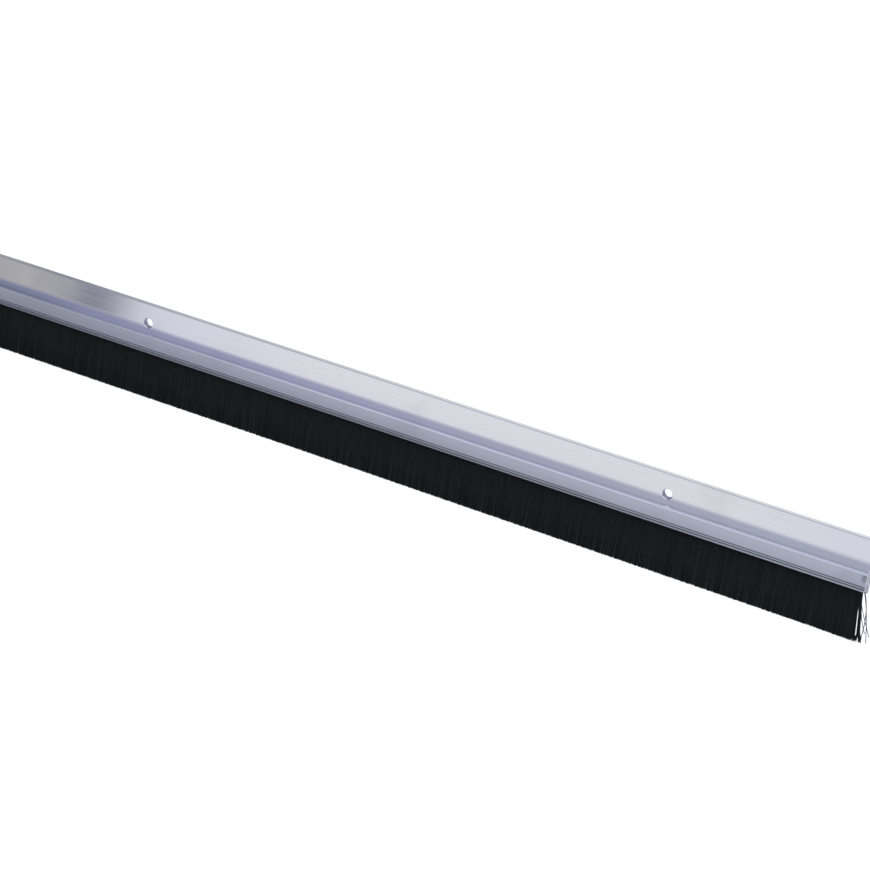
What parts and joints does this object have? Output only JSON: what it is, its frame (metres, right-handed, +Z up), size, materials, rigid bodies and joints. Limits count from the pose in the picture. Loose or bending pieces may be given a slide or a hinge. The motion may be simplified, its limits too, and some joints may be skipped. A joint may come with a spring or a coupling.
{
  "type": "brush seal strip",
  "caption": "Aluminium door strip with a drilled fixing flange above a grooved channel that grips a dense black bristle brush.",
  "frame": {"origin": "middle of the row of screw holes, on the back face that lies on the door", "axes": "+X along the strip, +Y into the door, so the front faces -Y, and +Z up, so the bristles hang towards -Z"},
  "size_m": [0.9182, 0.0066, 0.0423],
  "materials": {
    "satin_aluminium": "satin anodised, with fine lines along the extrusion",
    "zinc_plated_steel": "dull zinc plating",
    "black_bristle": "black nylon filaments, trimmed straight"
  },
  "bodies": {
    "root": {"aluminium_carrier": "satin_aluminium", "steel_channel": "zinc_plated_steel", "core_wire": "zinc_plated_steel", "bristles": "black_bristle"}
  },
  "joints": []
}
